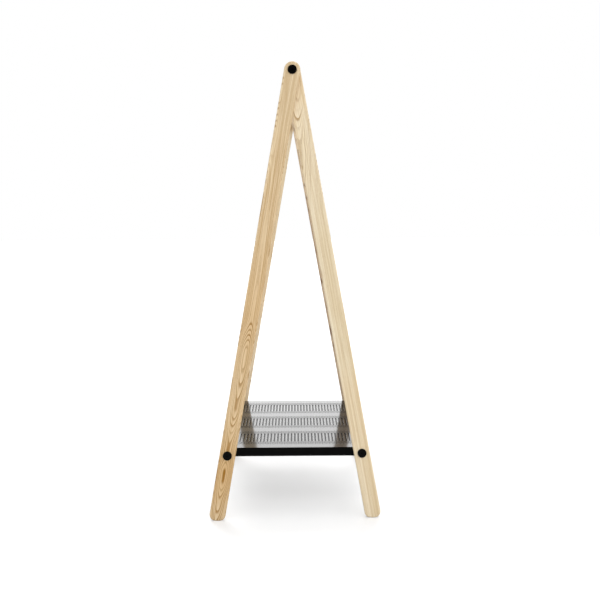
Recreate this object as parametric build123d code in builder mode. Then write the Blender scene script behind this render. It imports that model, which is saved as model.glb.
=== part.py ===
"""Free-standing A-frame clothes rack with a hanging rod and a slotted steel shelf.

Two A-frames, each of two round-ended ash planks that cross at the head, stand one at each
end of the rack. A black steel rod joins their heads, and a folded steel tray joins their
legs near the floor. Disc-headed bolts hold every joint.

The origin is on the floor in the middle of the rack. +Z is up, the rod lies along Y, and
each A-frame spreads along X. "near" is the -Y end, "left" the -X side. All sizes in mm.
"""
from build123d import *
import os
from math import atan2, degrees, hypot, radians, tan

# --- A-frames -----------------------------------------------------------------------
rack_height = 1600.0
leg_lean = 10.0  # degrees from upright
leg_width = 56.0
leg_thickness = 18.0
leg_edge_chamfer = 2.3  # eased edges of both faces
foot_sawn_depth = 4.0  # sawn off the lower round end so that the leg stands flat
leg_washer_thickness = 1.0  # keeps the two crossing planks from rubbing
leg_washer_diameter = 30.0

# --- bolts --------------------------------------------------------------------------
bolt_diameter = 8.0
bolt_hole_clearance = 0.5  # added to the diameter in wood, sheet and sleeves
thread_clearance = 0.1  # added to the diameter where a thread holds the bolt
bolt_head_diameter = 31.5
bolt_head_height = 4.0
bolt_head_chamfer = 1.2
bolt_tip_chamfer = 0.8
hex_socket_width = 6.0  # across flats
hex_socket_depth = 3.0
bolt_tip_past_nut = 2.0
nut_width = 13.0  # across flats
nut_height = 6.5

# --- hanging rod --------------------------------------------------------------------
rod_diameter = 25.0
rod_wall = 1.5
rod_washer_thickness = 1.0
rod_washer_diameter = 24.0
rod_plug_flange = 3.0  # collar that closes the tube
rod_plug_depth = 26.0  # length pressed into the tube
rod_bolt_engagement = 20.0  # how far the bolt reaches into the plug

# --- shelf --------------------------------------------------------------------------
shelf_length = 600.0  # along Y, between the inner planks
shelf_edge_past_bolt = 14.0  # from a leg bolt's centre to the shelf's long edge
shelf_top = 247.0  # upper face above the floor
shelf_lip_height = 30.0
sheet = 1.5
fold_inside_radius = 1.5
sleeve_diameter = 20.0  # sleeve that fills the gap behind an outer plank

# --- slots in the shelf -------------------------------------------------------------
slot_width = 6.0
slot_pitch = 12.5
slot_side_margin = 22.0  # least distance of a slot's centre from the shelf's long edge
band_count = 3
band_gap = 38.0  # plain strip between bands
band_end_margin = 37.0  # plain strip at each end of the shelf
short_slot_length = 24.0
slot_row_bridge = 3.0  # steel left between the ends of two rows

# --- places worked out from the sizes above -------------------------------------------
rod_height = rack_height - leg_width / 2  # the rod is on the axis of the planks' round heads
foot_round_height = leg_width / 2 - foot_sawn_depth
lean_slope = tan(radians(leg_lean))
foot_offset = (rod_height - foot_round_height) * lean_slope
shelf_bolt_height = shelf_top - shelf_lip_height / 2
shelf_bolt_offset = (rod_height - shelf_bolt_height) * lean_slope
shelf_width = 2 * (shelf_bolt_offset + shelf_edge_past_bolt)
fold_radius = fold_inside_radius + sheet
shelf_end = shelf_length / 2
inner_leg_face = shelf_end  # inner planks bear on the shelf's ends
outer_leg_face = inner_leg_face + leg_thickness + leg_washer_thickness
rod_end = inner_leg_face - rod_washer_thickness
tube_end = rod_end - rod_plug_flange
bolt_hole_radius = (bolt_diameter + bolt_hole_clearance) / 2
thread_radius = (bolt_diameter + thread_clearance) / 2


def save(piece, label):
    """Name a finished piece and write it to its own file."""
    piece.part.label = label
    export_step(piece.part, f"parts/{label}.step")


def save_pair(near_piece, label):
    """Write a piece of the near end and its mirror image at the far end."""
    save(near_piece, f"{label}_near")
    with BuildPart() as far_piece:
        mirror(near_piece.part, about=Plane.XZ)
    save(far_piece, f"{label}_far")


def leg(side, inner_face):
    """Round-ended plank from the rod down to the floor, on the near end.

    side is -1 for a left leg and 1 for a right one. inner_face is how far the plank's
    inner face is from the middle of the rack.
    """
    head = Vector(0, rod_height)
    foot = Vector(side * foot_offset, foot_round_height)
    run = foot - head
    with BuildPart() as plank:
        with BuildSketch(Plane.XZ.offset(inner_face)):
            with Locations((head + foot) / 2):
                SlotCenterToCenter(
                    hypot(run.X, run.Y), leg_width, rotation=degrees(atan2(run.Y, run.X))
                )
        extrude(amount=leg_thickness)
        split(bisect_by=Plane.XY, keep=Keep.TOP)  # sawn level where it meets the floor
        faces_across = plank.faces().sort_by(Axis.Y)
        chamfer(faces_across[0].edges() + faces_across[-1].edges(), leg_edge_chamfer)
        with Locations(Plane.XZ.offset(inner_face + leg_thickness)):
            with Locations((0, rod_height), (side * shelf_bolt_offset, shelf_bolt_height)):
                Hole(bolt_hole_radius)
    return plank


def ring(x, z, start, length, outer_radius, bore_radius):
    """Washer or sleeve around a bolt, from start outwards along the near end."""
    with BuildPart() as turned:
        with BuildSketch(Plane.XZ.offset(start)):
            with Locations((x, z)):
                Circle(outer_radius)
                Circle(bore_radius, mode=Mode.SUBTRACT)
        extrude(amount=length)
    return turned


def disc_bolt(x, z, seat, shank_length):
    """Bolt with a flat disc head on a plank's outer face, tightened with a hex key."""
    with BuildPart() as bolt:
        with BuildSketch(Plane.XZ.offset(seat)):
            with Locations((x, z)):
                Circle(bolt_head_diameter / 2)
        extrude(amount=bolt_head_height)
        chamfer(bolt.edges().sort_by(Axis.Y)[0], bolt_head_chamfer)
        with BuildSketch(Plane.XZ.offset(seat)):
            with Locations((x, z)):
                Circle(bolt_diameter / 2)
        extrude(amount=-shank_length)
        chamfer(bolt.edges().sort_by(Axis.Y)[-1], bolt_tip_chamfer)
        with BuildSketch(Plane.XZ.offset(seat + bolt_head_height)):
            with Locations((x, z)):
                RegularPolygon(hex_socket_width / 2, 6, major_radius=False)
        extrude(amount=-hex_socket_depth, mode=Mode.SUBTRACT)
    return bolt


def shelf_nut(x):
    """Hex nut welded to the inside of the shelf's folded end."""
    with BuildPart() as nut:
        with BuildSketch(Plane.XZ.offset(shelf_end - sheet)):
            with Locations((x, shelf_bolt_height)):
                RegularPolygon(nut_width / 2, 6, major_radius=False)
                Circle(thread_radius, mode=Mode.SUBTRACT)
        extrude(amount=-nut_height)
    return nut


def rod_tube():
    """Round steel tube that the hangers go on."""
    with BuildPart() as tube:
        with BuildSketch(Plane.XZ):
            with Locations((0, rod_height)):
                Circle(rod_diameter / 2)
                Circle(rod_diameter / 2 - rod_wall, mode=Mode.SUBTRACT)
        extrude(amount=tube_end, both=True)
    return tube


def rod_plug():
    """Flanged plug pressed into the tube's end, threaded for the head bolt."""
    with BuildPart() as plug:
        with BuildSketch(Plane.XZ.offset(tube_end)):
            with Locations((0, rod_height)):
                Circle(rod_diameter / 2)
        extrude(amount=rod_plug_flange)
        with BuildSketch(Plane.XZ.offset(tube_end)):
            with Locations((0, rod_height)):
                Circle(rod_diameter / 2 - rod_wall)
        extrude(amount=-rod_plug_depth)
        with Locations(Plane.XZ.offset(rod_end)):
            with Locations((0, rod_height)):
                Hole(thread_radius)
    return plug


def folded_edge(plane, reach, run_length):
    """One edge of the tray: the fold and the lip that hangs from it.

    plane's x axis points outwards and its z axis runs along the edge. reach is the
    distance of the lip's outer face from the middle of the shelf. The ends are mitred.
    """
    fold_centre = (reach - fold_radius, shelf_top - fold_radius)
    lip_bottom = shelf_top - shelf_lip_height
    with BuildPart() as edge:
        with BuildSketch(plane):
            with BuildLine():
                outside = CenterArc(fold_centre, fold_radius, 0, 90)
                inside = CenterArc(fold_centre, fold_inside_radius, 0, 90)
                Polyline(outside @ 0, (reach, lip_bottom), (reach - sheet, lip_bottom), inside @ 0)
                Line(outside @ 1, inside @ 1)
            make_face()
        extrude(amount=run_length / 2, both=True)
        for way in (1, -1):
            corner = plane.from_local_coords(Vector(reach, 0, way * run_length / 2))
            mitre = Plane(origin=corner, z_dir=plane.z_dir * way - plane.x_dir)
            split(bisect_by=mitre, keep=Keep.BOTTOM)
    return edge


def shelf_end_edge():
    """Folded end of the tray at the near end, drilled for the two leg bolts."""
    drawn = folded_edge(Plane.YZ, shelf_end, shelf_width)
    with BuildPart() as edge:
        mirror(drawn.part, about=Plane.XZ)
        with Locations(Plane.XZ.offset(shelf_end)):
            with Locations(
                (-shelf_bolt_offset, shelf_bolt_height), (shelf_bolt_offset, shelf_bolt_height)
            ):
                Hole(bolt_hole_radius, depth=2 * sheet)
    return edge


def slot_row(y, slot_length, staggered):
    """One row of slots across the shelf. A staggered row sits half a pitch to the side."""
    columns = 2 * int((shelf_width / 2 - slot_side_margin) / slot_pitch) + 1
    if staggered:
        columns -= 1
    with Locations((0, y)):
        with GridLocations(slot_pitch, 0, columns, 1):
            Rectangle(slot_width, slot_length, mode=Mode.SUBTRACT)


def shelf_panel():
    """Flat of the tray, pierced by bands of long slots with a short staggered row at each end."""
    plain = 2 * band_end_margin + (band_count - 1) * band_gap
    band_length = (shelf_length - plain) / band_count
    long_slot_length = band_length - 2 * (short_slot_length + slot_row_bridge)
    with BuildPart() as panel:
        with BuildSketch(Plane.XY.offset(shelf_top)):
            Rectangle(shelf_width - 2 * fold_radius, shelf_length - 2 * fold_radius)
            for band in range(band_count):
                middle = (band - (band_count - 1) / 2) * (band_length + band_gap)
                slot_row(middle, long_slot_length, staggered=False)
                for way in (-1, 1):
                    band_tip = middle + way * (band_length - short_slot_length) / 2
                    slot_row(band_tip, short_slot_length, staggered=True)
        extrude(amount=-sheet)
    return panel


os.makedirs("parts", exist_ok=True)

# The left plank of each A-frame is the outer one, the right plank bears on the shelf.
save_pair(leg(-1, outer_leg_face), "outer_leg")
save_pair(leg(1, inner_leg_face), "inner_leg")
leg_washer = ring(
    0, rod_height, inner_leg_face + leg_thickness, leg_washer_thickness,
    leg_washer_diameter / 2, bolt_hole_radius,
)
save_pair(leg_washer, "leg_washer")

# Head: the rod, its threaded plugs and the bolts that clamp both planks to it.
save(rod_tube(), "hanging_rod")
save_pair(rod_plug(), "rod_plug")
rod_washer = ring(
    0, rod_height, rod_end, rod_washer_thickness, rod_washer_diameter / 2, bolt_hole_radius
)
save_pair(rod_washer, "rod_washer")
head_bolt_seat = outer_leg_face + leg_thickness
save_pair(
    disc_bolt(0, rod_height, head_bolt_seat, head_bolt_seat - rod_end + rod_bolt_engagement),
    "head_bolt",
)

# Shelf: the slotted flat and its four folded edges.
save(shelf_panel(), "shelf_panel")
save_pair(shelf_end_edge(), "shelf_end_lip")
right_edge = folded_edge(Plane.XZ, shelf_width / 2, shelf_length)
save(right_edge, "shelf_side_lip_right")
with BuildPart() as left_edge:
    mirror(right_edge.part, about=Plane.YZ)
save(left_edge, "shelf_side_lip_left")

# Shelf fixings: a welded nut and a bolt at each leg, and a sleeve behind each outer plank.
for side, name, leg_face in ((-1, "left", outer_leg_face), (1, "right", inner_leg_face)):
    x = side * shelf_bolt_offset
    seat = leg_face + leg_thickness
    shank = seat - shelf_end + sheet + nut_height + bolt_tip_past_nut
    save_pair(shelf_nut(x), f"shelf_nut_{name}")
    save_pair(disc_bolt(x, shelf_bolt_height, seat, shank), f"shelf_bolt_{name}")
sleeve = ring(
    -shelf_bolt_offset, shelf_bolt_height, shelf_end, outer_leg_face - shelf_end,
    sleeve_diameter / 2, bolt_hole_radius,
)
save_pair(sleeve, "leg_sleeve")
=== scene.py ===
"""Finish of a free-standing A-frame clothes rack: ash planks, black rod, slotted black shelf.

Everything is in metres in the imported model's frame: the floor is z = 0, the rod lies
along Y, and the near end is -Y. The sections follow the rack as it is put together.
"""
from math import atan2, cos, e, pi, radians, sin

import bpy
import bmesh
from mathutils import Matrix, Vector


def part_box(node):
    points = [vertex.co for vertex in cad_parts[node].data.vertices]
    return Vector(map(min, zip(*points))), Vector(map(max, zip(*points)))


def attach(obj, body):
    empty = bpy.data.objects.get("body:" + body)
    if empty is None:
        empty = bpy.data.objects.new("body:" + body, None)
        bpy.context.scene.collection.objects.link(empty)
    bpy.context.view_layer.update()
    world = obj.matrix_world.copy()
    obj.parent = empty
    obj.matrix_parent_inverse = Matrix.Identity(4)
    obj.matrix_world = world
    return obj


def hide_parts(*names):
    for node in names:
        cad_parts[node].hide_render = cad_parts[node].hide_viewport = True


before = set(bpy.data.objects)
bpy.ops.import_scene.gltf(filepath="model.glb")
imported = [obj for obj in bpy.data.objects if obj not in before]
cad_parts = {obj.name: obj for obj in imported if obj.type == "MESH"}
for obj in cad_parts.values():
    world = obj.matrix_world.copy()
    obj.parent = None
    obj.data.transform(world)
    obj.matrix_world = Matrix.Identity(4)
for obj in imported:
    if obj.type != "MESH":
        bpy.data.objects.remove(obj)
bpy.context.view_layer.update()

# --- Camera ---------------------------------------------------------------------------
# The camera stands in front of the near A-frame, a little above the middle of the rack, and
# looks down a little. A downward shift of the lens does the rest, so the planks hardly
# converge.
camera_place = (0.0079, -2.9944, 1.1723)
camera_tilt = radians(2.5)
camera_roll = radians(0.39)
focal_length_px = 771.0
frame_px = 600
optical_centre_px = (295.3, 219.9)

sensor_width_mm = 36.0

lens = bpy.data.cameras.new("camera")
lens.sensor_width = sensor_width_mm
lens.lens = focal_length_px / frame_px * sensor_width_mm
lens.shift_x = (frame_px / 2 - optical_centre_px[0]) / frame_px
lens.shift_y = (optical_centre_px[1] - frame_px / 2) / frame_px
lens.clip_end = 60.0
camera = bpy.data.objects.new("camera", lens)
camera.location = camera_place
camera.rotation_euler = (pi / 2 - camera_tilt, camera_roll, 0.0)
bpy.context.scene.collection.objects.link(camera)
bpy.context.scene.camera = camera


# --- Ash planks -------------------------------------------------------------------------
# Four planks of solid ash, sawn to one width, with full round ends and softly rounded
# edges. The foot of each is sawn level with the floor. Clear matt lacquer. The far frame's
# planks carry painted shade: a darker tone on the inner one, a dark mark where they cross.
plank_edge_radius = 0.004
plank_foot_sawn = 0.004
plank_foot_sanding = 0.008
plank_corner_steps = 4
plank_end_steps = 32


class Link:
    """A socket of a node tree that Python sums can use as a number."""

    def __init__(self, nodes, socket):
        self.nodes = nodes
        self.socket = socket

    def maths(self, operation, *values):
        return self.nodes.node("ShaderNodeMath", {"operation": operation}, dict(enumerate(values)))

    def __add__(self, other):
        return self.maths("ADD", self, other)

    def __sub__(self, other):
        return self.maths("SUBTRACT", self, other)

    def __rsub__(self, other):
        return self.maths("SUBTRACT", other, self)

    def __mul__(self, other):
        return self.maths("MULTIPLY", self, other)

    def __truediv__(self, other):
        return self.maths("DIVIDE", self, other)

    def __rtruediv__(self, other):
        return self.maths("DIVIDE", other, self)

    def __pow__(self, other):
        return self.maths("POWER", self, other)

    def __rpow__(self, other):
        return self.maths("POWER", other, self)

    def __neg__(self):
        return self.maths("MULTIPLY", self, -1.0)

    __radd__ = __add__
    __rmul__ = __mul__

    def part(self, name):
        """One coordinate of a vector socket."""
        return self.nodes.node("ShaderNodeSeparateXYZ", {}, {0: self}, output=name)

    def between(self, low, high):
        """0 below low, 1 above high, and a smooth step from one to the other."""
        settings = {"interpolation_type": "SMOOTHSTEP"}
        return self.nodes.node("ShaderNodeMapRange", settings, {0: self, 1: low, 2: high})

    def whole(self):
        """The whole number below."""
        return self.maths("FLOOR", self)


class Nodes:
    """A node tree, filled a node at a time."""

    def __init__(self, tree):
        self.tree = tree

    def node(self, kind, settings, inputs, output=0):
        """Add any node: its settings first, then the values or links of its sockets."""
        new = self.tree.nodes.new(kind)
        for name, value in settings.items():
            if name == "stops":
                for _ in range(len(value) - len(new.color_ramp.elements)):
                    new.color_ramp.elements.new(1.0)
                for stop, (place, level) in zip(new.color_ramp.elements, value):
                    stop.position = place
                    stop.color = (level, level, level, 1.0)
            else:
                setattr(new, name, value)
        for key, value in inputs.items():
            self.join(new.inputs[key], value)
        return Link(self, new.outputs[output])

    def join(self, socket, value):
        """Link a socket, or set its value."""
        if isinstance(value, Link):
            self.tree.links.new(value.socket, socket)
        else:
            socket.default_value = value

    def choose(self, first, second, factor):
        """A shader that is the first where the factor is 0 and the second where it is 1."""
        return self.node("ShaderNodeMixShader", {}, {0: factor, 1: first, 2: second})


class Finish(Nodes):
    """A procedural material, built up around its Principled shader."""

    def __init__(self, name):
        self.material = bpy.data.materials.new(name)
        self.material.use_nodes = True
        super().__init__(self.material.node_tree)
        self.shader = self.tree.nodes["Principled BSDF"]

    def surface(self, **inputs):
        """Set the shader's own sockets: Base_Color=..., Roughness=..."""
        for name, value in inputs.items():
            self.join(self.shader.inputs[name.replace("_", " ")], value)

    def mix(self, first, second, amount):
        """A colour between two colours."""
        return self.node("ShaderNodeMix", {"data_type": "RGBA"}, {0: amount, 6: first, 7: second}, 2)

    def place(self, origin=(0, 0, 0), turn=(0, 0, 0)):
        """The piece's own coordinates, measured from an origin and along turned axes."""
        here = self.node("ShaderNodeTexCoord", {}, {}, "Object")
        return self.node(
            "ShaderNodeMapping", {"vector_type": "TEXTURE"}, {0: here, 1: origin, 2: turn}
        )

    def noise(self, where, scale, detail=2.0, roughness=0.5):
        """Smooth noise about 0, between -0.5 and 0.5. scale is in cycles per metre."""
        vector = self.node("ShaderNodeVectorMath", {"operation": "MULTIPLY"}, {0: where, 1: scale})
        inputs = {"Vector": vector, "Scale": 1.0, "Detail": detail, "Roughness": roughness}
        return self.node("ShaderNodeTexNoise", {}, inputs, "Fac") - 0.5

    def bump(self, height, distance):
        """Relief in the finish. distance is its depth in metres."""
        inputs = {"Height": height, "Distance": distance, "Strength": 1.0}
        self.surface(Normal=self.node("ShaderNodeBump", {}, inputs))


def colour(red, green, blue):
    """A colour given as 0 to 255 on a screen, in the linear values that shaders use."""
    def linear(level):
        level /= 255
        return level / 12.92 if level <= 0.04045 else ((level + 0.055) / 1.055) ** 2.4
    return (linear(red), linear(green), linear(blue), 1.0)


def along(down, stops):
    """A number that changes smoothly down the plank, from (place, value) stops."""
    total = stops[0][1]
    for (start, before), (end, after) in zip(stops, stops[1:]):
        total = total + (after - before) * down.between(start, end)
    return total


def ash(name, head, lean, rings_apart, pith_across, pith_behind, knots_and_shade_marks, tone, warmth, figure, seed):
    """Ash, as growth rings round a pith that wanders behind the plank's face.

    head is the middle of the plank's round head and lean its angle; a year's ring is
    rings_apart wide. pith_across and pith_behind say where the pith runs from the plank's
    middle, as stops down the plank: where it sinks away from the face the rings draw
    arches, and where it comes nearer, ovals. knots push the rings aside and darken the
    wood, and a dark mark in the same list may be painted shade instead of a knot: (across,
    down, half width, half length, push, darkness). tone is (pale, mid, warm, dark), and a
    tone may be darkened to paint shade. warmth and figure, the share of the warm tone and
    the strength of the rings, are stops down the plank too. The scale of each noise is
    across, through and along the plank.
    """
    swerve_reach = 0.010
    wobble_reach = 0.0011
    faintest_line = 0.35
    pore_darkness = 0.35
    pore_depth = 0.00012

    wood = Finish(name)
    here = wood.place(head, (0, lean, 0))
    across, through, down = here.part("X"), here.part("Y"), -here.part("Z")
    seed_shift = (seed, seed * 1.7, seed * 2.3)
    shifted = wood.node("ShaderNodeVectorMath", {"operation": "ADD"}, {0: here, 1: seed_shift})
    swerve = swerve_reach * wood.noise(shifted, (1, 1, 2.1), detail=1.0)
    sideways = across - along(down, pith_across) - swerve
    behind = through - along(down, pith_behind)
    radius = (sideways * sideways + behind * behind) ** 0.5
    marks = 0.0
    for spot_across, spot_down, half_width, half_length, push, darkness in knots_and_shade_marks:
        aside = (across - spot_across) / half_width
        above = (down - spot_down) / half_length
        spot = e ** -(aside * aside + above * above)
        radius = radius + push * spot
        marks = marks + darkness * spot
    wobble = wobble_reach * wood.noise(shifted, (45, 45, 8), detail=3.0)
    rings = (radius + wobble) / rings_apart
    year = rings.whole()
    season = rings - year
    good_year = wood.node(
        "ShaderNodeTexWhiteNoise", {"noise_dimensions": "1D"}, {"W": year}, "Value"
    )
    early_stops = [(0.0, 0.0), (0.07, 1.0), (0.25, 1.0), (0.5, 0.3), (1.0, 0.0)]
    early = wood.node("ShaderNodeValToRGB", {"stops": early_stops}, {0: season})
    line = early * (faintest_line + (1 - faintest_line) * good_year)

    fibre = wood.noise(shifted, (900, 900, 14), detail=3.0, roughness=0.6)
    streak = wood.noise(shifted, (120, 120, 1.6), detail=2.0)
    stripe = wood.noise(shifted, (330, 330, 2.4), detail=1.0)
    cloud = wood.noise(shifted, (16, 16, 3.5), detail=2.0)
    pores = wood.noise(shifted, (2600, 2600, 70), detail=1.0).between(0.08, 0.2) * early

    pale, mid, warm, dark = tone
    amount = (0.5 + 1.7 * streak + 1.3 * stripe + 0.6 * cloud + 1.0 * fibre).between(0.0, 1.0)
    ground = wood.mix(wood.mix(pale, mid, amount), warm, along(down, warmth))
    shade = (line * along(down, figure) + pore_darkness * pores + marks).between(0.0, 1.25)
    wood.surface(
        Base_Color=wood.mix(ground, dark, shade),
        Roughness=0.52 + 0.12 * line + 0.1 * fibre,
    )
    wood.shader.inputs["Specular IOR Level"].default_value = 0.35
    wood.bump(-(pores + 0.3 * line), pore_depth)
    return wood.material


def closed_loops(name, loops, closed_ends=True):
    """A skin over rings of points, one ring after another, all with as many points."""
    mesh = bmesh.new()
    rows = [[mesh.verts.new(point) for point in loop] for loop in loops]
    count = len(rows[0])
    pairs = list(zip(rows, rows[1:]))
    if not closed_ends:
        pairs.append((rows[-1], rows[0]))
    for row, after in pairs:
        for i in range(count):
            j = (i + 1) % count
            mesh.faces.new((row[i], row[j], after[j], after[i]))
    if closed_ends:
        mesh.faces.new(rows[0][::-1])
        mesh.faces.new(rows[-1])
    bmesh.ops.recalc_face_normals(mesh, faces=mesh.faces)
    data = bpy.data.meshes.new(name)
    mesh.to_mesh(data)
    mesh.free()
    piece = bpy.data.objects.new(name, data)
    bpy.context.scene.collection.objects.link(piece)
    return piece


def smooth(piece, angle=35.0):
    """Shade smoothly except over creases sharper than the angle in degrees."""
    data = piece.data
    data.shade_smooth()
    data.set_sharp_from_angle(angle=radians(angle))
    evened = piece.modifiers.new("even shading", "WEIGHTED_NORMAL")
    evened.keep_sharp = True


def finish_piece(piece, nodes, material):
    """Give a piece its material and its place on the rack, in place of CAD nodes."""
    piece.data.materials.append(material)
    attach(piece, "root")
    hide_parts(*nodes)


def worn(above_cut):
    """Height over the sawn foot where its corners are sanded round."""
    return (above_cut + (above_cut ** 2 + plank_foot_sanding ** 2) ** 0.5) / 2


def plank_outline(side, head, foot, radius, inset):
    """Outline of a plank's face in (x, z), drawn inset from the real edge."""
    reach = radius - inset
    lean = atan2(side * (foot[0] - head[0]), head[1] - foot[1])
    points = []
    for step in range(plank_end_steps + 1):
        angle = side * lean + pi * step / plank_end_steps
        points.append((head[0] + reach * cos(angle), head[1] + reach * sin(angle)))
    for step in range(plank_end_steps + 1):
        angle = pi + side * lean + pi * step / plank_end_steps
        above_cut = foot[1] + reach * sin(angle) - inset
        height = inset + worn(above_cut) - worn(-plank_foot_sawn)
        points.append((foot[0] + reach * cos(angle), height))
    return points


def plank(node, side, material):
    """A plank as a skin over its outline, drawn in towards both faces to round the edges."""
    low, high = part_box(node)
    radius = high[0] if side < 0 else -low[0]
    head = (0.0, high[2] - radius)
    foot = (side * (max(high[0], -low[0]) - radius), radius - plank_foot_sawn)
    near_side = []
    for step in reversed(range(plank_corner_steps + 1)):
        turn = pi / 2 * step / plank_corner_steps
        sunk = plank_edge_radius * (1 - sin(turn))
        near_side.append((low[1] + sunk, plank_edge_radius * (1 - cos(turn))))
    far_side = [(low[1] + high[1] - y, inset) for y, inset in near_side[::-1]]
    loops = []
    for y, inset in near_side + far_side:
        outline = plank_outline(side, head, foot, radius, inset)
        loops.append([(x, y, z) for x, z in outline])
    piece = closed_loops(f"plank_{node}", loops)
    smooth(piece, 50.0)
    finish_piece(piece, [node], material)


# Each tone is the ash's pale, mid, warm and dark colour. The third tone, on the far inner
# plank, is darkened to paint the shade the far frame stands in: partly the wood's colour,
# partly painted shade.
honey = (colour(246, 227, 192), colour(210, 183, 141), colour(220, 181, 126), colour(154, 104, 14))
cream = (colour(249, 237, 210), colour(223, 203, 164), colour(233, 200, 156), colour(172, 134, 76))
umber_with_painted_shade = (colour(212, 190, 162), colour(182, 152, 120), colour(230, 206, 172), colour(100, 66, 40))
lean_angle = radians(10.0)
outer_low, outer_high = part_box("outer_leg_near")
head_height = outer_high[2] - outer_high[0]

for end in ("near", "far"):
    low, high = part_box(f"outer_leg_{end}")
    outer_ash = ash(
        f"ash, outer plank, {end}",
        head=(0.0, (low[1] + high[1]) / 2, head_height),
        lean=lean_angle,
        rings_apart=0.0014,
        pith_across=[(0.0, -0.040), (0.16, -0.030), (0.45, -0.004), (0.86, 0.004), (1.6, -0.003)],
        pith_behind=[
            (0.0, 0.0470), (0.2, 0.0360), (0.4, 0.0385), (0.86, 0.0370), (0.99, 0.0300),
            (1.02, 0.0300), (1.184, 0.0333), (1.325, 0.0389), (1.35, 0.0390), (1.42, 0.0363),
            (1.45, 0.0363), (1.53, 0.0395), (1.62, 0.0420),
        ],
        knots_and_shade_marks=[
            (-0.025, down, 0.0035, 0.005, 0.0, 0.6)
            for down in (0.034, 0.054, 0.120, 0.138, 0.160, 0.182, 0.200)
        # The far outer plank's one dark mark is painted shade where the far planks cross, not a knot.
        ] if end == "near" else [(0.016, 0.150, 0.006, 0.022, 0.0, 0.9)],
        tone=honey if end == "near" else cream,
        warmth=[
            (0.0, 0.0), (0.55, 0.3), (0.85, 0.55), (1.1, 0.36), (1.25, 0.40), (1.42, 0.72), (1.6, 0.3),
        ],
        figure=[
            (0.0, 0.4), (0.2, 0.5), (0.3, 0.75), (0.8, 0.9), (0.9, 1.1), (1.1, 1.1), (1.17, 0.9),
            (1.25, 1.0), (1.4, 1.4), (1.55, 1.1),
        ],
        seed=3.1 if end == "near" else 9.4,
    )
    plank(f"outer_leg_{end}", -1, outer_ash)
    low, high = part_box(f"inner_leg_{end}")
    inner_ash = ash(
        f"ash, inner plank, {end}",
        head=(0.0, (low[1] + high[1]) / 2, head_height),
        lean=-lean_angle,
        rings_apart=0.0024,
        pith_across=[(0.04, 0.006), (0.23, -0.020), (0.54, -0.055), (1.6, -0.070)],
        pith_behind=[(0.04, 0.030), (0.27, 0.042), (0.54, 0.045)],
        knots_and_shade_marks=[
            (-0.026, 0.334, 0.004, 0.009, 0.0, 0.5), (-0.027, 0.715, 0.007, 0.022, 0.0, 0.35),
            (0.004, 0.990, 0.018, 0.035, 0.007, 0.12),
        ] if end == "near" else [
            (-0.022, 0.396, 0.009, 0.008, 0.0, 0.45), (-0.022, 0.453, 0.009, 0.008, 0.0, 0.50),
            (-0.022, 0.506, 0.009, 0.008, 0.0, 0.35), (-0.025, 0.684, 0.008, 0.012, 0.0, 0.45),
            (-0.022, 0.815, 0.009, 0.014, 0.0, 0.70), (-0.022, 0.933, 0.009, 0.016, 0.0, 0.35),
            (-0.022, 1.035, 0.009, 0.024, 0.0, 0.80), (-0.020, 1.100, 0.009, 0.010, 0.0, 0.55),
            (-0.022, 1.275, 0.009, 0.050, 0.0, 0.30),
        ],
        tone=cream if end == "near" else umber_with_painted_shade,
        # On the far inner plank the pale warm tone stays near the head only; below it the darker tone
        # gives painted shade.
        warmth=[
            (0.0, 0.3), (0.2, 0.15), (0.6, 0.07), (1.0, 0.07), (1.15, 0.25), (1.6, 0.2),
        ] if end == "near" else [(0.38, 1.0), (0.5, 0.0)],
        figure=[
            (0.0, 0.6), (0.12, 0.45), (0.17, 0.95), (0.3, 0.95), (0.6, 0.65), (1.0, 0.55), (1.5, 0.55),
        ],
        seed=5.7 if end == "near" else 1.9,
    )
    plank(f"inner_leg_{end}", 1, inner_ash)


# --- Turned pieces: bolts, washers, sleeves -------------------------------------------
# Disc-headed steel bolts with a hex socket, black nylon washers and steel sleeves. The
# bolts run through the planks into the rod's plugs and the shelf's welded nuts.
round_steps = 60
bolt_clearance_radius = 0.00425
bolt_head_height = 0.004
bolt_rim_radius = 0.0014
bolt_radius = 0.004
bolt_tip_chamfer = 0.0008
hex_socket_width = 0.006
hex_socket_depth = 0.003
hex_socket_chamfer = 0.0003
washer_edge = 0.0002
sleeve_edge = 0.0006


def ring_points(middle, y, radius_at):
    """A ring of points round an axis along Y. radius_at gives the radius at an angle."""
    points = []
    for step in range(round_steps):
        angle = 2 * pi * step / round_steps
        radius = radius_at(angle)
        points.append((middle[0] + radius * cos(angle), y, middle[1] + radius * sin(angle)))
    return points


def turned(name, middle, profile, closed_ends=True):
    """A turned piece from a list of (y, radius), where a radius may depend on the angle."""
    loops = []
    for y, radius in profile:
        radius_at = radius if callable(radius) else (lambda angle, fixed=radius: fixed)
        loops.append(ring_points(middle, y, radius_at))
    return closed_loops(name, loops, closed_ends)


def middle_of(node):
    """The axis of a round node, as (x, z)."""
    low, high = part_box(node)
    return ((low[0] + high[0]) / 2, (low[2] + high[2]) / 2)


def hexagon(width):
    """Radius of a hexagon at an angle."""
    sixth = pi / 3
    def radius_at(angle):
        off = (angle + sixth / 2) % sixth - sixth / 2
        return width / 2 / cos(off)
    return radius_at


def satin_black(name, grey, roughness, pebble):
    """Black coat: an even black with faint pebbling and slightly uneven gloss."""
    coat = Finish(name)
    here = coat.place()
    grain = coat.noise(here, (2400, 2400, 2400), detail=2.0)
    patch = coat.noise(here, (30, 30, 30), detail=2.0)
    darker, lighter = colour(grey, grey, grey), colour(grey + 9, grey + 9, grey + 8)
    coat.surface(
        Base_Color=coat.mix(darker, lighter, patch + 0.5),
        Roughness=roughness + 0.1 * patch + 0.06 * grain,
    )
    coat.bump(grain, pebble)
    return coat


bolt_black = satin_black("black bolt", grey=5, roughness=0.34, pebble=0.00002)
bolt_black.shader.inputs["Specular IOR Level"].default_value = 0.03


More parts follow.
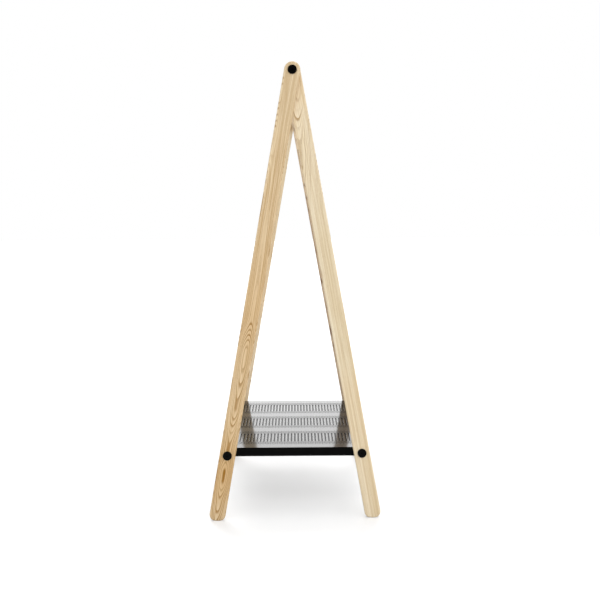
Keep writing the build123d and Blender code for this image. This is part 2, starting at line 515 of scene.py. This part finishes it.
def disc_bolt(node):
    """Head, rounded rim, hex socket and shank, with the head on the rack's outside."""
    low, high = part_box(node)
    outward = -1 if low[1] + high[1] < 0 else 1
    face = low[1] if outward < 0 else high[1]
    tip = high[1] if outward < 0 else low[1]
    head_radius = (high[0] - low[0]) / 2
    socket = hexagon(hex_socket_width)
    profile = [
        (face - outward * hex_socket_depth, socket),
        (face - outward * hex_socket_chamfer, socket),
        (face, lambda angle: socket(angle) + hex_socket_chamfer),
    ]
    rim_steps = 5
    for step in range(rim_steps + 1):
        turn = pi / 2 * step / rim_steps
        inward = bolt_rim_radius * (1 - cos(turn))
        profile.append((face - outward * inward, head_radius - bolt_rim_radius * (1 - sin(turn))))
    seat = face - outward * bolt_head_height
    profile += [
        (seat, head_radius), (seat, bolt_radius), (tip + outward * bolt_tip_chamfer, bolt_radius),
        (tip, bolt_radius - bolt_tip_chamfer),
    ]
    piece = turned(f"bolt_{node}", middle_of(node), profile)
    smooth(piece)
    finish_piece(piece, [node], bolt_black.material)


def washer(node, material, edge):
    """Washer or sleeve with softened edges."""
    low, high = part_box(node)
    outer = (high[0] - low[0]) / 2
    profile = [
        (low[1], bolt_clearance_radius), (low[1], outer - edge), (low[1] + edge, outer),
        (high[1] - edge, outer), (high[1], outer - edge), (high[1], bolt_clearance_radius),
    ]
    piece = turned(f"ring_{node}", middle_of(node), profile, closed_ends=False)
    smooth(piece)
    finish_piece(piece, [node], material)


nylon = satin_black("black nylon", grey=24, roughness=0.5, pebble=0.00001)
for end in ("near", "far"):
    for name in ("head_bolt", "shelf_bolt_left", "shelf_bolt_right"):
        disc_bolt(f"{name}_{end}")
    washer(f"leg_washer_{end}", nylon.material, washer_edge)
    washer(f"rod_washer_{end}", nylon.material, washer_edge)
    washer(f"leg_sleeve_{end}", bolt_black.material, sleeve_edge)


# --- Hanging rod ------------------------------------------------------------------------
# Round steel tube, powder coated black. A flanged plug closes each end, and a fine groove
# shows where the flange meets the tube.
rod_wall = 0.0015
groove = 0.0004
rod_black = satin_black("black rod", grey=20, roughness=0.36, pebble=0.00003)
rod_middle = middle_of("hanging_rod")
rod_low, rod_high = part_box("hanging_rod")
rod_radius = (rod_high[0] - rod_low[0]) / 2
tube = turned(
    "rod_tube",
    rod_middle,
    [
        (rod_low[1], rod_radius - rod_wall), (rod_low[1], rod_radius - groove),
        (rod_low[1] + groove, rod_radius), (rod_high[1] - groove, rod_radius),
        (rod_high[1], rod_radius - groove), (rod_high[1], rod_radius - rod_wall),
    ],
    closed_ends=False,
)
smooth(tube)
finish_piece(tube, ["hanging_rod"], rod_black.material)
for end, outward in (("near", -1), ("far", 1)):
    low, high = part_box(f"rod_plug_{end}")
    cap, inside = (low[1], high[1]) if outward < 0 else (high[1], low[1])
    step = rod_low[1] if outward < 0 else rod_high[1]
    plug = turned(
        f"rod_plug_{end}",
        rod_middle,
        [
            (inside, bolt_radius), (inside, rod_radius - rod_wall), (step, rod_radius - rod_wall),
            (step, rod_radius - groove), (step + outward * groove, rod_radius),
            (cap - outward * groove, rod_radius), (cap, rod_radius - groove), (cap, bolt_radius),
        ],
        closed_ends=False,
    )
    smooth(plug)
    finish_piece(plug, [f"rod_plug_{end}"], rod_black.material)


# --- Shelf ------------------------------------------------------------------------------
# One sheet of steel, slotted in three bands and folded down on all four edges, coated
# glossy black. The slots have round ends, and rows of small holes fade each band out.
panel_low, panel_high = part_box("shelf_panel")
lip_low, lip_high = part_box("shelf_end_lip_far")
shelf_half_width = -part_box("shelf_side_lip_left")[0][0]
shelf_half_length = lip_high[1]
shelf_top = panel_high[2]
lip_bottom = lip_low[2]
sheet = panel_high[2] - panel_low[2]
slot_width = 0.006
slot_pitch = 0.0125
slot_side_margin = 0.022
band_count = 3
band_gap = 0.038
band_end_margin = 0.037
fade_length = 0.027
fade_row_pitch = 0.006
fade_start_pitches = 0.75
fade_hole_widths = (0.0060, 0.0058, 0.0055, 0.0052)
slot_end_steps = 6
fold_steps = 6
fold_corner_steps = 6
sharpest_corner = 0.00001


def round_slot(x, y, width, length):
    """Outline of a slot along Y with round ends, or a round hole where they are equal."""
    radius = width / 2
    straight = (length - width) / 2
    points = []
    for way, start in ((1, 0.0), (-1, pi)):
        for step in range(slot_end_steps + 1):
            angle = start + pi * step / slot_end_steps
            points.append((x + radius * cos(angle), y + way * straight + radius * sin(angle)))
    if straight <= 0:
        del points[slot_end_steps], points[-1]
    return points


def slot_columns(staggered):
    """Where the slots or holes of a row stand across the shelf."""
    half_count = int((shelf_half_width - slot_side_margin) / slot_pitch)
    if staggered:
        return [(i + 0.5) * slot_pitch for i in range(-half_count, half_count)]
    return [i * slot_pitch for i in range(-half_count, half_count + 1)]


def slot_outlines():
    """Every opening in the shelf: bands of long slots that fade out in rows of holes."""
    plain = 2 * band_end_margin + (band_count - 1) * band_gap
    band_length = (2 * shelf_half_length - plain) / band_count
    long_slot = band_length - 2 * fade_length
    outlines = []
    for band in range(band_count):
        middle = (band - (band_count - 1) / 2) * (band_length + band_gap)
        outlines += [round_slot(x, middle, slot_width, long_slot) for x in slot_columns(False)]
        for way in (-1, 1):
            for row, width in enumerate(fade_hole_widths):
                y = middle + way * (long_slot / 2 + (row + fade_start_pitches) * fade_row_pitch)
                for x in slot_columns(staggered=row % 2 == 0):
                    outlines.append(round_slot(x, y, width, width))
    return outlines


def flat_sheet(name, outlines, top, thickness):
    """A flat sheet from its outline and holes, as a filled curve turned into a mesh."""
    drawing = bpy.data.curves.new(name, "CURVE")
    drawing.dimensions = "2D"
    drawing.fill_mode = "BOTH"
    drawing.extrude = thickness / 2
    for outline in outlines:
        line = drawing.splines.new("POLY")
        line.points.add(len(outline) - 1)
        for point, (x, y) in zip(line.points, outline):
            point.co = (x, y, 0.0, 1.0)
        line.use_cyclic_u = True
    drawn = bpy.data.objects.new(name, drawing)
    bpy.context.scene.collection.objects.link(drawn)
    bpy.context.view_layer.update()
    depsgraph = bpy.context.evaluated_depsgraph_get()
    data = bpy.data.meshes.new_from_object(drawn.evaluated_get(depsgraph))
    bpy.data.objects.remove(drawn)
    for vertex in data.vertices:
        vertex.co.z += top - thickness / 2
    piece = bpy.data.objects.new(name, data)
    bpy.context.scene.collection.objects.link(piece)
    return piece


def rim_loop(outset, z):
    """Ring of points round the tray, outset from the flat, with small round corners."""
    x_half = panel_high[0]
    y_half = panel_high[1]
    reach = max(outset, sharpest_corner)
    points = []
    for quarter, (sx, sy) in enumerate(((1, 1), (-1, 1), (-1, -1), (1, -1))):
        for step in range(fold_corner_steps + 1):
            angle = pi / 2 * (quarter + step / fold_corner_steps)
            points.append((sx * x_half + reach * cos(angle), sy * y_half + reach * sin(angle), z))
    return points


def folded_rim():
    """The fold and the lips that hang from the flat, as one band round the tray."""
    fold = shelf_half_width - panel_high[0]
    outside = []
    inside = []
    for step in range(fold_steps + 1):
        turn = pi / 2 * step / fold_steps
        outside.append((fold * sin(turn), shelf_top - fold * (1 - cos(turn))))
        inner = fold - sheet
        inside.append((inner * sin(turn), shelf_top - sheet - inner * (1 - cos(turn))))
    profile = outside + [(fold, lip_bottom), (fold - sheet, lip_bottom)] + inside[::-1]
    loops = [rim_loop(outset, z) for outset, z in profile]
    return closed_loops("rim", loops, closed_ends=False)


edge = [
    (panel_low[0], panel_low[1]), (panel_high[0], panel_low[1]),
    (panel_high[0], panel_high[1]), (panel_low[0], panel_high[1]),
]
tray = flat_sheet("shelf_tray", [edge] + slot_outlines(), shelf_top, sheet)
rim = folded_rim()
smooth(rim, 50.0)

top_gloss = satin_black("shelf coat, top", grey=11, roughness=0.40, pebble=0.000002)
top_gloss.surface(Coat_Weight=1.0)
top_gloss.shader.inputs["Coat Roughness"].default_value = 0.11
top_gloss.shader.inputs["Specular IOR Level"].default_value = 0.02
lip_gloss = satin_black("shelf coat, lips", grey=2, roughness=0.25, pebble=0.000004)
lip_gloss.shader.inputs["Specular IOR Level"].default_value = 0.03
finish_piece(tray, ["shelf_panel"], top_gloss.material)
finish_piece(
    rim,
    ["shelf_end_lip_near", "shelf_end_lip_far", "shelf_side_lip_left", "shelf_side_lip_right"],
    lip_gloss.material,
)


# --- Welded nuts ------------------------------------------------------------------------
# Zinc-plated hex nuts welded inside the shelf's folded ends, out of sight from above.
zinc = Finish("zinc plate")
zinc_place = zinc.place()
spangle = zinc.noise(zinc_place, (220, 220, 220), detail=3.0)
zinc.surface(
    Base_Color=zinc.mix(colour(150, 150, 146), colour(190, 190, 184), spangle + 0.5),
    Roughness=0.38 + 0.25 * spangle,
    Metallic=1.0,
)
zinc.bump(spangle, 0.00004)
for end in ("near", "far"):
    for side in ("left", "right"):
        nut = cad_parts[f"shelf_nut_{side}_{end}"]
        nut.data.materials.clear()
        nut.data.materials.append(zinc.material)


# --- Floor, backdrop and light ----------------------------------------------------------
# A plain white floor runs out to a white surround. The light is broad and soft, and a
# tall white panel stands behind, where only glossy coats show it. A dark sheet close under
# the shelf, which only the camera sees, is painted shade: it darkens the slots in place of the white
# floor.
floor_half = 14.0
floor_glow_share = 0.28
shade_gap = 0.0004
floor_paint = Finish("white floor")
mottle = floor_paint.noise(floor_paint.place(), (3, 3, 3), detail=2.0)
floor_paint.surface(
    Base_Color=floor_paint.mix(colour(255, 255, 255), colour(252, 252, 252), mottle + 0.5),
    Roughness=0.9,
)
floor_paint.shader.inputs["Specular IOR Level"].default_value = 0.0
lit_floor = Link(floor_paint, floor_paint.shader.outputs[0])
glow = floor_paint.node("ShaderNodeEmission", {}, {"Color": (1, 1, 1, 1), "Strength": 1.0})
floor_bounce = floor_paint.node("ShaderNodeBsdfDiffuse", {}, {"Color": (0.35, 0.35, 0.35, 1)})
seen = [
    floor_paint.node("ShaderNodeLightPath", {}, {}, f"Is {kind} Ray")
    for kind in ("Camera", "Glossy", "Transmission")
]
directly_seen = (seen[0] + seen[1] + seen[2]).between(0.0, 1.0)
floor_paint.join(
    floor_paint.tree.nodes["Material Output"].inputs["Surface"],
    floor_paint.choose(
        floor_bounce, floor_paint.choose(lit_floor, glow, floor_glow_share), directly_seen
    ),
)


def flat_board(name, x_half, y_half, z, material):
    """A flat rectangle of the stage, level at a height."""
    corners = [(sx * x_half, sy * y_half, z) for sx, sy in ((-1, -1), (1, -1), (1, 1), (-1, 1))]
    data = bpy.data.meshes.new(name)
    data.from_pydata(corners, [], [(0, 1, 2, 3)])
    data.materials.append(material)
    board = bpy.data.objects.new(name, data)
    bpy.context.scene.collection.objects.link(board)
    return board


flat_board("floor", floor_half, floor_half, 0.0, floor_paint.material)

# Painted shade: a near-black sheet just under the shelf, seen only by the camera, darkens its slots.
shade = Finish("shade")
shade.surface(Base_Color=(0.002, 0.002, 0.002, 1.0), Roughness=0.14, IOR=1.13)
under_slots = flat_board(
    "painted_shade_under_slots", panel_high[0], panel_high[1], panel_low[2] - shade_gap, shade.material
)
under_slots.visible_diffuse = False
under_slots.visible_glossy = False
under_slots.visible_shadow = False

world = bpy.data.worlds.new("studio")
bpy.context.scene.world = world
world.use_nodes = True
world.node_tree.nodes.clear()
studio = Nodes(world.node_tree)


def surround(red, green, blue):
    """An evenly lit surround."""
    inputs = {"Color": (red, green, blue, 1), "Strength": 1.0}
    return studio.node("ShaderNodeBackground", {}, inputs)


direction = studio.node("ShaderNodeTexCoord", {}, {}, "Generated")
key_side = 0.65 * direction.part("X") - 0.8 * direction.part("Y")
diffused = studio.choose(
    surround(0.34, 0.34, 0.34), surround(1.60, 1.60, 1.60), key_side.between(-0.9, 0.9)
)
mirrored = studio.choose(
    surround(0.03, 0.035, 0.045), surround(1, 1, 1), direction.part("Y").between(-0.35, 0.25)
)
is_glossy = studio.node("ShaderNodeLightPath", {}, {}, "Is Glossy Ray")
is_through = studio.node("ShaderNodeLightPath", {}, {}, "Is Transmission Ray")
is_camera = studio.node("ShaderNodeLightPath", {}, {}, "Is Camera Ray")
mirror_ray = (is_glossy + is_through).between(0.0, 1.0)
everything = studio.choose(
    studio.choose(diffused, mirrored, mirror_ray), surround(1, 1, 1), is_camera
)
output = studio.tree.nodes.new("ShaderNodeOutputWorld")
studio.join(output.inputs["Surface"], everything)

high_lamp = bpy.data.lights.new("high soft lamp", "SUN")
high_lamp.angle = radians(42)
high_lamp.energy = 2.0
high_lamp_holder = bpy.data.objects.new("high_soft_lamp", high_lamp)
high_lamp_holder.rotation_euler = Vector((0.16, -0.94, -1.0)).to_track_quat("-Z", "Y").to_euler()
high_lamp_holder.visible_glossy = False
bpy.context.scene.collection.objects.link(high_lamp_holder)

panel_lamp = bpy.data.lights.new("white panel behind", "AREA")
panel_lamp.shape = "RECTANGLE"
panel_lamp.size = 3.0
panel_lamp.size_y = 2.0
panel_lamp.energy = 32.0
panel_holder = bpy.data.objects.new("white_panel_behind", panel_lamp)
panel_holder.location = (0.0, 3.2, 1.3)
panel_holder.rotation_euler = Vector((0, -1, 0)).to_track_quat("-Z", "Z").to_euler()
panel_holder.visible_camera = False
panel_holder.visible_diffuse = False
bpy.context.scene.collection.objects.link(panel_holder)

bpy.context.scene.view_settings.view_transform = "Standard"
